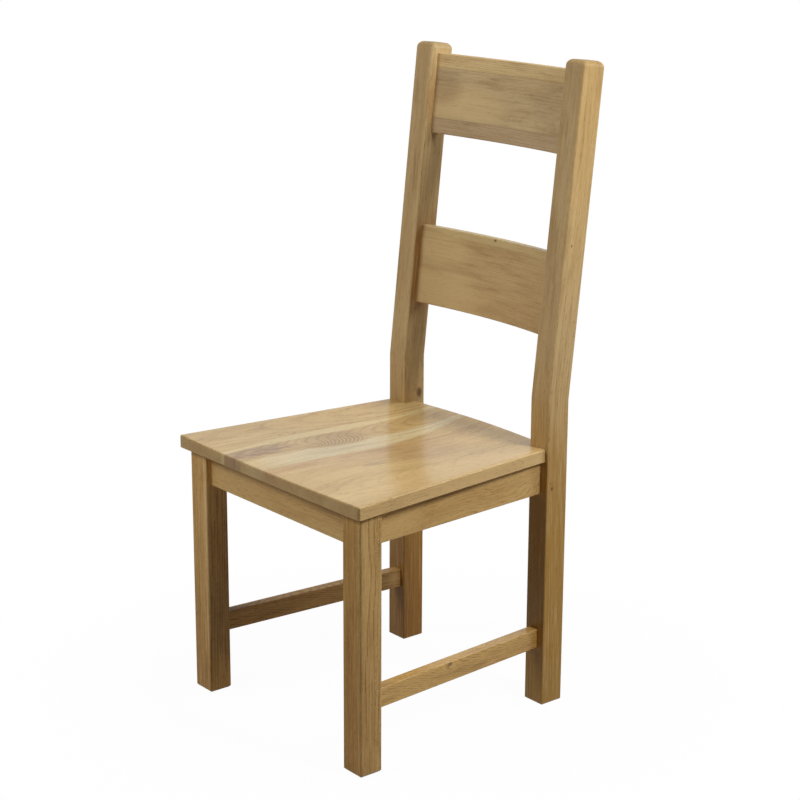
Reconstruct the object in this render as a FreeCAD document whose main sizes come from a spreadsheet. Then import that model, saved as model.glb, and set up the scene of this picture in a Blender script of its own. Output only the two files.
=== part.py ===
import FreeCAD, Part
import os
import Sketcher

# Driving sizes, in millimetres and degrees
SIZES = {
    # Seat
    "seat_height": 450,
    "seat_thickness": 21,
    "seat_front_width": 486,
    "seat_rear_width": 399,
    "seat_front_overhang": 13,
    "seat_side_overhang": 13,
    "seat_rear_tongue": 24,
    "seat_rear_bow": 11,
    "seat_notch_clearance": 0.3,
    "seat_corner_round": 4,
    "seat_edge_round": 2.5,
    "seat_rear_chamfer": 1.5,
    "seat_rim_width": 10,
    "dish_front_depth": 4,
    "dish_middle_depth": 9.5,
    "dish_middle_setback": 250,
    "dish_back_depth": 8,
    "dish_back_setback": 400,
    "dish_rear_depth": 1,
    "seat_strip_width": 28,
    "seat_left_board_width": 103.5,
    "seat_centre_board_width": 113.5,
    # Front legs
    "front_leg_width": 45,
    "front_leg_depth": 42.5,
    "leg_edge_round": 3.3,
    "leg_foot_chamfer": 3,
    # Back posts
    "post_proud_of_seat": 6,
    "back_post_width": 43,
    "back_post_depth": 44.5,
    "post_setback": 407,
    "post_bend_height": 531,
    "post_rake": 6.2,
    "post_upper_length": 548,
    "post_top_round": 10,
    "post_edge_round": 2,
    "post_foot_chamfer": 1.5,
    # Rails under the seat
    "rail_height": 57.5,
    "rail_thickness": 20,
    "front_rail_recess": 10,
    "side_rail_recess": 15.5,
    "back_rail_recess": 12,
    # Stretchers between front and back legs
    "stretcher_bottom": 100,
    "stretcher_height": 33.5,
    "stretcher_thickness": 19.5,
    "stretcher_recess": 14,
    "rail_edge_round": 1.5,
    # Back slats
    "slat_height": 136,
    "slat_thickness": 20,
    "slat_set_in": 13,
    "slat_bow": 19,
    "slat_gap": 159,
    "top_slat_drop": 17,
    "upper_stave_height": 24,
    "lower_stave_height": 27,
    "slat_edge_chamfer": 1.5,
    # Tenons and their mortises
    "tenon_thickness": 10,
    "tenon_shoulder": 6,
    "long_tenon": 28,
    "short_tenon": 16,
    "slat_tenon": 18,
    "joint_clearance": 0.1,
    "mortise_spare_depth": 0.5,
    # Corner blocks and seat screws
    "block_height": 38,
    "block_reach": 42,
    "block_clearance": 0.4,
    "screw_inset": 24,
    "screw_diameter": 4,
    "screw_head_diameter": 8,
    "screw_head_height": 3,
    "screw_bite": 11,
    "screw_clearance": 0.2,
    "counterbore_depth": 5,
}

# Places that follow from the sizes: X to the right, Y from front to back, Z up
PLACES = {
    "leg_outer": "Sizes.seat_front_width / 2 - Sizes.seat_side_overhang",
    "leg_inner": "leg_outer - Sizes.front_leg_width",
    "post_outer": "Sizes.seat_rear_width / 2 + Sizes.post_proud_of_seat",
    "post_inner": "post_outer - Sizes.back_post_width",
    "rear_reach": "Sizes.post_setback + Sizes.post_top_round"
                  " + (Sizes.post_upper_length - Sizes.post_top_round) * sin(Sizes.post_rake)"
                  " + (Sizes.back_post_depth - Sizes.post_top_round) * cos(Sizes.post_rake)",
    "leg_front": "(Sizes.seat_front_overhang - rear_reach) / 2",
    "leg_back": "leg_front + Sizes.front_leg_depth",
    "post_front": "leg_front + Sizes.post_setback",
    "post_back": "post_front + Sizes.back_post_depth",
    "post_top_front": "post_front + Sizes.post_upper_length * sin(Sizes.post_rake)",
    "post_top_height": "Sizes.post_bend_height + Sizes.post_upper_length * cos(Sizes.post_rake)",
    "post_top_back": "post_top_front + Sizes.back_post_depth * cos(Sizes.post_rake)",
    "post_top_back_height": "post_top_height - Sizes.back_post_depth * sin(Sizes.post_rake)",
    "back_bend_height": "Sizes.post_bend_height - Sizes.back_post_depth * tan(Sizes.post_rake / 2)",
    "seat_bottom": "Sizes.seat_height - Sizes.seat_thickness",
    "seat_front": "leg_front - Sizes.seat_front_overhang",
    "seat_notch_front": "post_front - Sizes.seat_notch_clearance",
    "seat_notch_side": "post_inner - Sizes.seat_notch_clearance",
    "seat_rear": "post_front + Sizes.seat_rear_tongue",
    "seat_rear_radius": "(seat_notch_side ^ 2 + Sizes.seat_rear_bow ^ 2) / (2 * Sizes.seat_rear_bow)",
    "seat_end": "seat_rear + Sizes.seat_rear_bow",
    "seat_side_slope": "(Sizes.seat_front_width - Sizes.seat_rear_width) / 2 / (seat_notch_front - seat_front)",
    "strip_joint": "Sizes.seat_strip_width - Sizes.seat_front_width / 2",
    "left_joint": "strip_joint + Sizes.seat_left_board_width",
    "right_joint": "left_joint + Sizes.seat_centre_board_width",
    "rail_bottom": "seat_bottom - Sizes.rail_height",
    "rail_tenon_bottom": "rail_bottom + Sizes.tenon_shoulder",
    "rail_tenon_height": "Sizes.rail_height - 2 * Sizes.tenon_shoulder",
    "front_rail_outer": "leg_front + Sizes.front_rail_recess",
    "front_rail_inner": "front_rail_outer + Sizes.rail_thickness",
    "back_rail_outer": "post_back - Sizes.back_rail_recess",
    "back_rail_inner": "back_rail_outer - Sizes.rail_thickness",
    "side_rail_front": "leg_outer - Sizes.side_rail_recess",
    "side_rail_rear": "post_outer - Sizes.side_rail_recess",
    "side_rail_slope": "(side_rail_front - side_rail_rear) / (post_front - leg_back)",
    "stretcher_front": "leg_outer - Sizes.stretcher_recess",
    "stretcher_rear": "post_outer - Sizes.stretcher_recess",
    "stretcher_tenon_bottom": "Sizes.stretcher_bottom + Sizes.tenon_shoulder",
    "stretcher_tenon_height": "Sizes.stretcher_height - 2 * Sizes.tenon_shoulder",
    "top_slat_top": "Sizes.post_upper_length - Sizes.top_slat_drop",
    "top_slat_bottom": "top_slat_top - Sizes.slat_height",
    "upper_joint": "top_slat_top - Sizes.upper_stave_height",
    "lower_joint": "top_slat_bottom + Sizes.lower_stave_height",
    "middle_slat_top": "top_slat_bottom - Sizes.slat_gap",
    "middle_slat_bottom": "middle_slat_top - Sizes.slat_height",
    "slat_radius": "(post_inner ^ 2 + Sizes.slat_bow ^ 2) / (2 * Sizes.slat_bow)",
    "slat_tenon_front": "Sizes.slat_set_in + (Sizes.slat_thickness - Sizes.tenon_thickness) / 2",
    "slat_tenon_back": "slat_tenon_front + Sizes.tenon_thickness",
    "block_bottom": "seat_bottom - Sizes.block_height",
}

TOLERANCE = 0.01
CUTTER_MARGIN = 5
LONG_EDGE = 90
SIDES = {"left": -1, "right": 1}

os.makedirs("parts", exist_ok=True)
document = FreeCAD.newDocument("ladder_back_chair")
pieces = []


def make_sheet(name, cells):
    """A spreadsheet with one named cell to a row."""
    sheet = document.addObject("Spreadsheet::Sheet", name)
    for row, (alias, content) in enumerate(cells.items(), start=1):
        sheet.set(f"A{row}", alias)
        sheet.set(f"B{row}", content)
        sheet.setAlias(f"B{row}", alias)
    document.recompute()
    return sheet


sizes = make_sheet("Sizes", {alias: str(number) for alias, number in SIZES.items()})
places = make_sheet("Places", {alias: "=" + formula for alias, formula in PLACES.items()})


def value_of(expression):
    """The number an expression comes to now."""
    return float(places.evalExpression(expression))


def new_body(label):
    """An empty body that will become one sub-part."""
    body = document.addObject("PartDesign::Body", label)
    body.Label = label
    return body


def arc_between(start, end, radius, turn):
    """An arc from start to end; turn is 1 to bulge left of the way there, -1 right."""
    chord = end - start
    half = chord.Length / 2
    bulge = radius - (radius ** 2 - half ** 2) ** 0.5
    across = FreeCAD.Vector(-chord.y, chord.x, 0).normalize()
    first, last = (end, start) if turn > 0 else (start, end)
    return Part.Arc(first, (start + end) / 2 + across * turn * bulge, last)


def outline(body, name, plane, corners, frame, arcs=None):
    """A closed sketch whose corners and arc radii follow expressions.

    Frame moves the sketch off its origin plane, arcs gives the radius and the
    turn of each edge, by number, that isn't a straight line."""
    arcs = arcs or {}
    sketch = body.newObject("Sketcher::SketchObject", name)
    support = next(item for item in body.Origin.OriginFeatures if item.Role == plane)
    sketch.AttachmentSupport = (support, [""])
    sketch.MapMode = "FlatFace"
    sketch.AttachmentOffset = FreeCAD.Placement(FreeCAD.Vector(), FreeCAD.Rotation(FreeCAD.Vector(1, 0, 0), -1))
    sketch.setExpression("AttachmentOffset.Rotation.Angle", frame.get("tilt", "0"))
    sketch.setExpression("AttachmentOffset.Base.y", frame.get("shift", "0"))
    sketch.setExpression("AttachmentOffset.Base.z", frame.get("lift", "0"))
    spots = [FreeCAD.Vector(value_of(across), value_of(along), 0) for across, along in corners]
    count = len(spots)
    starts = []
    for number, start in enumerate(spots):
        end = spots[(number + 1) % count]
        if number in arcs:
            radius, turn = arcs[number]
            edge = arc_between(start, end, value_of(radius), turn)
        else:
            edge = Part.LineSegment(start, end)
        sketch.addGeometry(edge, False)
        starts.append(1 if edge.StartPoint.distanceToPoint(start) < TOLERANCE else 2)
    for number in range(count):
        following = (number + 1) % count
        sketch.addConstraint(
            Sketcher.Constraint("Coincident", number, 3 - starts[number], following, starts[following]))
    for number, corner in enumerate(corners):
        for kind, expression in zip(("DistanceX", "DistanceY"), corner):
            rule = Sketcher.Constraint(kind, -1, 1, number, starts[number], value_of(expression))
            sketch.setExpression(f"Constraints[{sketch.addConstraint(rule)}]", expression)
    for number, (radius, turn) in arcs.items():
        rule = Sketcher.Constraint("Radius", number, value_of(radius))
        sketch.setExpression(f"Constraints[{sketch.addConstraint(rule)}]", radius)
    return sketch


def rectangle(x_low, x_high, y_low, y_high):
    """The corners of an upright rectangle."""
    return [(x_low, y_low), (x_high, y_low), (x_high, y_high), (x_low, y_high)]


def pad(body, sketch, length):
    """Material pushed out along the sketch's normal."""
    feature = body.newObject("PartDesign::Pad", sketch.Name + "_pad")
    feature.Profile = sketch
    feature.setExpression("Length", length)
    document.recompute()


def pocket(body, sketch, length):
    """Material taken away along the sketch's normal."""
    before = body.Shape.Volume
    feature = body.newObject("PartDesign::Pocket", sketch.Name + "_pocket")
    feature.Profile = sketch
    feature.Reversed = True
    feature.setExpression("Length", length)
    document.recompute()
    if body.Shape.Volume > before - 1:
        raise RuntimeError(sketch.Name + " cuts nothing")


def ease(body, kind, size, wanted):
    """Fillet or chamfer every edge of the body that the test wants."""
    names = [f"Edge{number}" for number, edge in enumerate(body.Shape.Edges, start=1) if wanted(edge)]
    if not names:
        raise RuntimeError(body.Label + " has no edge to ease")
    base = body.Tip
    feature = body.newObject("PartDesign::" + kind, f"{body.Name}_{kind}_{len(body.Group)}")
    feature.Base = (base, names)
    feature.setExpression("Radius" if kind == "Fillet" else "Size", size)
    document.recompute()


def grow(low, high, clearance):
    """The two ends of a range, each moved outward."""
    return f"{low} - {clearance}", f"{high} + {clearance}"


def keep(piece):
    """Count the object among the finished sub-parts."""
    pieces.append(piece)


def upright_frame(height):
    """The level frame at a height above the floor."""
    return {"lift": height}


def raked_frame(height):
    """The frame square to the raked part of a post, at a height along it."""
    return {
        "tilt": "-Sizes.post_rake",
        "shift": f"Places.post_front + ({height}) * sin(Sizes.post_rake)",
        "lift": f"Sizes.post_bend_height + ({height}) * cos(Sizes.post_rake)",
    }


def mortise(body, name, x_range, y_range, bottom, height, frame=upright_frame):
    """A rectangular socket, a clearance larger all round than its tenon."""
    spare = "Sizes.joint_clearance"
    corners = rectangle(*grow(*x_range, spare), *grow(*y_range, spare))
    sketch = outline(body, name, "XY_Plane", corners, frame(f"{bottom} - {spare}"))
    pocket(body, sketch, f"{height} + 2 * {spare}")


def ordered(sign, near, far):
    """A range across X, mirrored for the left side, low end first."""
    return (f"({near})", f"({far})") if sign > 0 else (f"-({far})", f"-({near})")


def centred(middle, width):
    """A range of the given width round a middle."""
    return f"{middle} - {width} / 2", f"{middle} + {width} / 2"


# Where the tenons run, shared by each tenon and its mortise
FRONT_RAIL_TENON_Y = centred("(Places.front_rail_outer + Sizes.rail_thickness / 2)", "Sizes.tenon_thickness")
BACK_RAIL_TENON_Y = centred("(Places.back_rail_outer - Sizes.rail_thickness / 2)", "Sizes.tenon_thickness")
SLAT_TENON_Y = ("Places.slat_tenon_front", "Places.slat_tenon_back")


def side_tenon_x(sign, outer, thickness):
    """The range across X of a tenon on a side rail or stretcher end."""
    near = f"{outer} - {thickness} / 2 - Sizes.tenon_thickness / 2"
    far = f"{outer} - {thickness} / 2 + Sizes.tenon_thickness / 2"
    return ordered(sign, near, far)


RAIL_TENON = ("Places.rail_tenon_bottom", "Places.rail_tenon_height")
STRETCHER_TENON = ("Places.stretcher_tenon_bottom", "Places.stretcher_tenon_height")
DEEP = " + Sizes.mortise_spare_depth"


def is_along_z(edge):
    """True for an upright straight edge."""
    return edge.BoundBox.XLength < TOLERANCE and edge.BoundBox.YLength < TOLERANCE


def lies_at(edge, axis, level):
    """True for an edge that stays at one level along an axis."""
    low = getattr(edge.BoundBox, axis + "Min")
    high = getattr(edge.BoundBox, axis + "Max")
    return abs(low - level) < TOLERANCE and abs(high - level) < TOLERANCE


def make_front_leg(side, sign):
    """A square front leg with mortises for the rails and the stretcher."""
    body = new_body("front_leg_" + side)
    plan = rectangle(*ordered(sign, "Places.leg_inner", "Places.leg_outer"), "Places.leg_front", "Places.leg_back")
    pad(body, outline(body, f"leg_{side}_plan", "XY_Plane", plan, {}), "Places.seat_bottom")
    ease(body, "Fillet", "Sizes.leg_edge_round", is_along_z)
    ease(body, "Chamfer", "Sizes.leg_foot_chamfer", lambda edge: lies_at(edge, "Z", 0))
    mortise(body, f"leg_{side}_front_rail_mortise",
            ordered(sign, "Places.leg_inner", "Places.leg_inner + Sizes.long_tenon" + DEEP),
            FRONT_RAIL_TENON_Y, *RAIL_TENON)
    end = ("Places.leg_back - Sizes.short_tenon - Sizes.mortise_spare_depth", "Places.leg_back")
    mortise(body, f"leg_{side}_side_rail_mortise",
            side_tenon_x(sign, "Places.side_rail_front", "Sizes.rail_thickness"), end, *RAIL_TENON)
    mortise(body, f"leg_{side}_stretcher_mortise",
            side_tenon_x(sign, "Places.stretcher_front", "Sizes.stretcher_thickness"), end, *STRETCHER_TENON)
    keep(body)


def make_back_post(side, sign):
    """A back leg that bends above the seat and runs on as the back's stile."""
    body = new_body("back_post_" + side)
    profile = [
        ("Places.post_front", "0"),
        ("Places.post_back", "0"),
        ("Places.post_back", "Places.back_bend_height"),
        ("Places.post_top_back", "Places.post_top_back_height"),
        ("Places.post_top_front", "Places.post_top_height"),
        ("Places.post_front", "Sizes.post_bend_height"),
    ]
    left_face = ordered(sign, "Places.post_inner", "Places.post_outer")[0]
    pad(body, outline(body, f"post_{side}_profile", "YZ_Plane", profile, {"lift": left_face}),
        "Sizes.back_post_width")
    ease(body, "Fillet", "Sizes.post_edge_round", lambda edge: edge.BoundBox.ZLength > LONG_EDGE)
    ease(body, "Fillet", "Sizes.post_top_round",
         lambda edge: edge.BoundBox.ZMin > value_of("Places.post_top_back_height") - TOLERANCE)
    ease(body, "Chamfer", "Sizes.post_foot_chamfer", lambda edge: lies_at(edge, "Z", 0))
    mortise(body, f"post_{side}_back_rail_mortise",
            ordered(sign, "Places.post_inner", "Places.post_inner + Sizes.long_tenon" + DEEP),
            BACK_RAIL_TENON_Y, *RAIL_TENON)
    end = ("Places.post_front", "Places.post_front + Sizes.short_tenon" + DEEP)
    mortise(body, f"post_{side}_side_rail_mortise",
            side_tenon_x(sign, "Places.side_rail_rear", "Sizes.rail_thickness"), end, *RAIL_TENON)
    mortise(body, f"post_{side}_stretcher_mortise",
            side_tenon_x(sign, "Places.stretcher_rear", "Sizes.stretcher_thickness"), end, *STRETCHER_TENON)
    reach = ordered(sign, "Places.post_inner", "Places.post_inner + Sizes.slat_tenon" + DEEP)
    for slat in ("top", "middle"):
        mortise(body, f"post_{side}_{slat}_slat_mortise", reach, SLAT_TENON_Y,
                f"Places.{slat}_slat_bottom + Sizes.tenon_shoulder",
                "Sizes.slat_height - 2 * Sizes.tenon_shoulder", raked_frame)
    keep(body)


def add_tenon(body, name, x_range, y_range, bottom, height):
    """A tenon standing out from the end of a rail, stretcher or slat."""
    sketch = outline(body, name, "XY_Plane", rectangle(*x_range, *y_range), {"lift": bottom})
    pad(body, sketch, height)


def make_cross_rail(name, low, high, inner, tenon_y):
    """The rail across the front or the back, tenoned at both ends."""
    body = new_body(name)
    plan = rectangle(f"-{inner}", inner, low, high)
    pad(body, outline(body, name + "_plan", "XY_Plane", plan, {"lift": "Places.rail_bottom"}), "Sizes.rail_height")
    bottom = value_of("Places.rail_bottom")
    ease(body, "Fillet", "Sizes.rail_edge_round",
         lambda edge: lies_at(edge, "Z", bottom) and edge.BoundBox.XLength > LONG_EDGE)
    for side, sign in SIDES.items():
        add_tenon(body, f"{name}_{side}_tenon", ordered(sign, inner, inner + " + Sizes.long_tenon"),
                  tenon_y, *RAIL_TENON)
    keep(body)


def make_side_piece(name, sign, front, rear, thickness, bottom, height, tenon):
    """A side rail or stretcher, running inward to the narrower back."""
    body = new_body(name)
    plan = [
        (f"{sign} * ({front})", "Places.leg_back"),
        (f"{sign} * ({rear})", "Places.post_front"),
        (f"{sign} * ({rear} - {thickness})", "Places.post_front"),
        (f"{sign} * ({front} - {thickness})", "Places.leg_back"),
    ]
    pad(body, outline(body, name + "_plan", "XY_Plane", plan, {"lift": bottom}), height)
    ease(body, "Fillet", "Sizes.rail_edge_round", lambda edge: edge.BoundBox.YLength > LONG_EDGE)
    add_tenon(body, name + "_front_tenon", side_tenon_x(sign, front, thickness),
              ("Places.leg_back - Sizes.short_tenon", "Places.leg_back"), *tenon)
    add_tenon(body, name + "_rear_tenon", side_tenon_x(sign, rear, thickness),
              ("Places.post_front", "Places.post_front + Sizes.short_tenon"), *tenon)
    keep(body)
    return body


def make_slat_piece(name, bottom, top, has_bottom_edge, has_top_edge):
    """A bowed slat, or one glued stave of it, standing square to the raked posts."""
    body = new_body(name)
    body.Placement = FreeCAD.Placement(FreeCAD.Vector(), FreeCAD.Rotation(FreeCAD.Vector(1, 0, 0), -1))
    body.setExpression("Placement.Base.y", "Places.post_front")
    body.setExpression("Placement.Base.z", "Sizes.post_bend_height")
    body.setExpression("Placement.Rotation.Angle", "-Sizes.post_rake")
    back = "Sizes.slat_set_in + Sizes.slat_thickness"
    plan = rectangle("-Places.post_inner", "Places.post_inner", "Sizes.slat_set_in", back)
    curves = {0: ("Places.slat_radius", 1), 2: ("Places.slat_radius", -1)}
    pad(body, outline(body, name + "_plan", "XY_Plane", plan, {"lift": bottom}, curves), f"{top} - {bottom}")
    levels = []
    if has_bottom_edge:
        levels.append(value_of(bottom))
    if has_top_edge:
        levels.append(value_of(top))
    local = body.Placement.inverse()

    def is_worn(edge):
        """True for the bowed edges along the slat's own top or bottom."""
        ends = [local.multVec(vertex.Point) for vertex in edge.Vertexes]
        along = abs(ends[0].x - ends[-1].x) > LONG_EDGE
        return along and any(abs(ends[0].z - level) < TOLERANCE for level in levels)

    if levels:
        ease(body, "Chamfer", "Sizes.slat_edge_chamfer", is_worn)
    tenon_bottom = f"{bottom} + Sizes.tenon_shoulder" if has_bottom_edge else bottom
    tenon_top = f"{top} - Sizes.tenon_shoulder" if has_top_edge else top
    for side, sign in SIDES.items():
        reach = ordered(sign, "Places.post_inner", "Places.post_inner + Sizes.slat_tenon")
        add_tenon(body, f"{name}_{side}_tenon", reach, SLAT_TENON_Y, tenon_bottom, f"{tenon_top} - ({tenon_bottom})")
    keep(body)


def screw_spot(corner, sign):
    """Where the seat screw of a corner block stands."""
    if corner == "front":
        return f"{sign} * (Places.leg_inner - Sizes.screw_inset / 2)", "Places.leg_back + Sizes.screw_inset / 2"
    return f"{sign} * (Places.post_inner - Sizes.screw_inset / 2)", "Places.post_front - Sizes.screw_inset / 2"


def round_hole(body, name, spot, diameter, bottom, depth):
    """A round upright hole."""
    sketch = body.newObject("Sketcher::SketchObject", name)
    support = next(item for item in body.Origin.OriginFeatures if item.Role == "XY_Plane")
    sketch.AttachmentSupport = (support, [""])
    sketch.MapMode = "FlatFace"
    sketch.setExpression("AttachmentOffset.Base.z", bottom)
    middle = FreeCAD.Vector(value_of(spot[0]), value_of(spot[1]), 0)
    sketch.addGeometry(Part.Circle(middle, FreeCAD.Vector(0, 0, 1), value_of(diameter) / 2), False)
    for kind, expression in zip(("DistanceX", "DistanceY"), spot):
        rule = Sketcher.Constraint(kind, -1, 1, 0, 3, value_of(expression))
        sketch.setExpression(f"Constraints[{sketch.addConstraint(rule)}]", expression)
    rule = Sketcher.Constraint("Diameter", 0, value_of(diameter))
    sketch.setExpression(f"Constraints[{sketch.addConstraint(rule)}]", diameter)
    pocket(body, sketch, depth)


def make_corner_block(corner, side, sign):
    """A block glued into a corner of the seat frame, drilled for a seat screw."""
    name = f"corner_block_{corner}_{side}"
    body = new_body(name)
    gap = "Sizes.block_clearance"
    if corner == "front":
        face = f"(Places.leg_inner - {gap})"
        stop = f"(Places.leg_back + {gap})"
        rail = "Places.front_rail_inner"
        reach = f"({stop} + Sizes.block_reach)"
    else:
        face = f"(Places.post_inner - {gap})"
        stop = f"(Places.post_front - {gap})"
        rail = "Places.back_rail_inner"
        reach = f"({stop} - Sizes.block_reach)"

    def side_face(y):
        """The side rail's inner face at a place along Y."""
        return f"(Places.side_rail_front - Sizes.rail_thickness - Places.side_rail_slope * ({y} - Places.leg_back))"

    plan = [
        (f"{sign} * {face}", rail),
        (f"{sign} * ({face} - Sizes.block_reach)", rail),
        (f"{sign} * {side_face(reach)}", reach),
        (f"{sign} * {side_face(stop)}", stop),
        (f"{sign} * {face}", stop),
    ]
    pad(body, outline(body, name + "_plan", "XY_Plane", plan, {"lift": "Places.block_bottom"}), "Sizes.block_height")
    spot = screw_spot(corner, sign)
    round_hole(body, name + "_hole", spot, "Sizes.screw_diameter + Sizes.screw_clearance",
               "Places.block_bottom", "Sizes.block_height")
    round_hole(body, name + "_counterbore", spot, "Sizes.screw_head_diameter + Sizes.screw_clearance",
               "Places.block_bottom", "Sizes.counterbore_depth")
    keep(body)


def make_seat_screws():
    """The four screws that hold the seat down to the corner blocks."""
    screws = []
    for corner in ("front", "rear"):
        for side, sign in SIDES.items():
            name = f"screw_{corner}_{side}"
            across, along = screw_spot(corner, sign)
            head = document.addObject("Part::Cylinder", name + "_head")
            head.setExpression("Radius", "Sizes.screw_head_diameter / 2")
            head.setExpression("Height", "Sizes.screw_head_height")
            shank = document.addObject("Part::Cylinder", name + "_shank")
            shank.setExpression("Radius", "Sizes.screw_diameter / 2")
            shank.setExpression("Height", "Sizes.block_height - Sizes.counterbore_depth"
                                " + Sizes.screw_head_height + Sizes.screw_bite")
            for piece in (head, shank):
                piece.setExpression("Placement.Base.x", across)
                piece.setExpression("Placement.Base.y", along)
                piece.setExpression("Placement.Base.z", "Places.block_bottom + Sizes.counterbore_depth"
                                    " - Sizes.screw_head_height")
            screw = document.addObject("Part::Fuse", name)
            screw.Base = head
            screw.Tool = shank
            screws.append(screw)
    group = document.addObject("Part::Compound", "seat_screws")
    group.Links = screws
    keep(group)


def seat_half_width(setback):
    """Half the seat's width at a distance behind its front edge."""
    return f"(Sizes.seat_front_width / 2 - Places.seat_side_slope * ({setback}))"


def add_dish_section(body, name, setback, depth):
    """One cross section of the hollow cut into the seat's top."""
    half = f"({seat_half_width(setback)} - Sizes.seat_rim_width)"
    corners = rectangle(f"-{half}", half, "Sizes.seat_height", f"Sizes.seat_height + {CUTTER_MARGIN}")
    radius = f"({half} ^ 2 + {depth} ^ 2) / (2 * {depth})"
    return outline(body, name, "XZ_Plane", corners, {"lift": f"-(Places.seat_front + {setback})"}, {0: (radius, -1)})


def make_seat_blank():
    """The whole dished seat, before it is parted into its boards."""
    body = new_body("seat_blank")
    front_half = "Sizes.seat_front_width / 2"
    rear_half = "Sizes.seat_rear_width / 2"
    plan = [
        (f"-{front_half}", "Places.seat_front"),
        (front_half, "Places.seat_front"),
        (rear_half, "Places.seat_notch_front"),
        ("Places.seat_notch_side", "Places.seat_notch_front"),
        ("Places.seat_notch_side", "Places.seat_rear"),
        ("-Places.seat_notch_side", "Places.seat_rear"),
        ("-Places.seat_notch_side", "Places.seat_notch_front"),
        (f"-{rear_half}", "Places.seat_notch_front"),
    ]
    sketch = outline(body, "seat_plan", "XY_Plane", plan, {"lift": "Places.seat_bottom"},
                     {4: ("Places.seat_rear_radius", -1)})
    pad(body, sketch, "Sizes.seat_thickness")
    front = value_of("Places.seat_front")
    ease(body, "Fillet", "Sizes.seat_corner_round", lambda edge: is_along_z(edge) and lies_at(edge, "Y", front))
    sections = [
        add_dish_section(body, "dish_front", f"(-{CUTTER_MARGIN})", "Sizes.dish_front_depth"),
        add_dish_section(body, "dish_middle", "Sizes.dish_middle_setback", "Sizes.dish_middle_depth"),
        add_dish_section(body, "dish_back", "Sizes.dish_back_setback", "Sizes.dish_back_depth"),
        add_dish_section(body, "dish_rear", f"(Places.seat_end - Places.seat_front + {CUTTER_MARGIN})",
                         "Sizes.dish_rear_depth"),
    ]
    dish = body.newObject("PartDesign::SubtractiveLoft", "dish")
    dish.Profile = sections[0]
    dish.Sections = sections[1:]
    document.recompute()
    underside = value_of("Places.seat_bottom")
    rear = value_of("Places.seat_rear")
    notch = value_of("Places.seat_notch_front")
    rim = value_of("Sizes.seat_rim_width")

    def is_rim(edge):
        """True for the edges along the front and the sides of the seat's top."""
        if edge.BoundBox.ZMin < underside + TOLERANCE:
            return False
        middle = edge.valueAt((edge.FirstParameter + edge.LastParameter) / 2)
        half = value_of(seat_half_width(f"({middle.y} - Places.seat_front)"))
        at_side = middle.y < notch and abs(abs(middle.x) - half) < rim / 2
        return at_side or middle.y < front + rim / 2

    def is_rear_edge(edge):
        """True for the top edge of the bowed tongue between the posts."""
        return edge.BoundBox.ZMin > underside + TOLERANCE and edge.BoundBox.YMin > rear - TOLERANCE

    ease(body, "Fillet", "Sizes.seat_edge_round", is_rim)
    ease(body, "Chamfer", "Sizes.seat_rear_chamfer", is_rear_edge)
    for corner in ("front", "rear"):
        for side, sign in SIDES.items():
            round_hole(body, f"seat_{corner}_{side}_pilot", screw_spot(corner, sign),
                       "Sizes.screw_diameter + Sizes.screw_clearance", "Places.seat_bottom",
                       "Sizes.screw_bite + Sizes.mortise_spare_depth")
    return body


def make_seat_board(blank, name, low, high):
    """One board of the seat, with straight glue joints from front to back."""
    block = document.addObject("Part::Box", name + "_block")
    block.setExpression("Length", f"{high} - ({low})")
    block.setExpression("Width", f"Places.seat_end - Places.seat_front + 2 * {CUTTER_MARGIN}")
    block.setExpression("Height", f"Sizes.seat_thickness + 2 * {CUTTER_MARGIN}")
    block.setExpression("Placement.Base.x", low)
    block.setExpression("Placement.Base.y", f"Places.seat_front - {CUTTER_MARGIN}")
    block.setExpression("Placement.Base.z", f"Places.seat_bottom - {CUTTER_MARGIN}")
    board = document.addObject("Part::Common", name)
    board.Base = blank
    board.Tool = block
    keep(board)


for side, sign in SIDES.items():
    make_front_leg(side, sign)
    make_back_post(side, sign)
    make_side_piece("side_rail_" + side, sign, "Places.side_rail_front", "Places.side_rail_rear",
                    "Sizes.rail_thickness", "Places.rail_bottom", "Sizes.rail_height", RAIL_TENON)
    make_side_piece("side_stretcher_" + side, sign, "Places.stretcher_front", "Places.stretcher_rear",
                    "Sizes.stretcher_thickness", "Sizes.stretcher_bottom", "Sizes.stretcher_height",
                    STRETCHER_TENON)
    make_corner_block("front", side, sign)
    make_corner_block("rear", side, sign)
make_cross_rail("front_rail", "Places.front_rail_outer", "Places.front_rail_inner", "Places.leg_inner",
                FRONT_RAIL_TENON_Y)
make_cross_rail("back_rail", "Places.back_rail_inner", "Places.back_rail_outer", "Places.post_inner",
                BACK_RAIL_TENON_Y)
make_slat_piece("top_slat_upper_stave", "Places.upper_joint", "Places.top_slat_top", False, True)
make_slat_piece("top_slat_centre_stave", "Places.lower_joint", "Places.upper_joint", False, False)
make_slat_piece("top_slat_lower_stave", "Places.top_slat_bottom", "Places.lower_joint", True, False)
make_slat_piece("middle_slat", "Places.middle_slat_bottom", "Places.middle_slat_top", True, True)
make_seat_screws()
seat_blank = make_seat_blank()
seat_side = f"(Sizes.seat_front_width / 2 + {CUTTER_MARGIN})"
make_seat_board(seat_blank, "seat_edge_strip", "-" + seat_side, "Places.strip_joint")
make_seat_board(seat_blank, "seat_board_left", "Places.strip_joint", "Places.left_joint")
make_seat_board(seat_blank, "seat_board_centre", "Places.left_joint", "Places.right_joint")
make_seat_board(seat_blank, "seat_board_right", "Places.right_joint", seat_side)
document.recompute()

# Every object must have built before anything is written
for item in document.Objects:
    if "Invalid" in item.State or "Error" in item.State:
        raise RuntimeError(f"{item.Label} did not build: {item.State}")
for piece in pieces:
    if piece.Shape.isNull() or not piece.Shape.isValid() or not piece.Shape.Solids:
        raise RuntimeError(f"{piece.Label} has no valid solid")
    piece.Shape.exportStep(f"parts/{piece.Label}.step")
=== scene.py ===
"""Ladder back chair: oak finishes for its joined pieces, with a plain stage and a camera."""

import math
from dataclasses import dataclass
from typing import Callable

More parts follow.
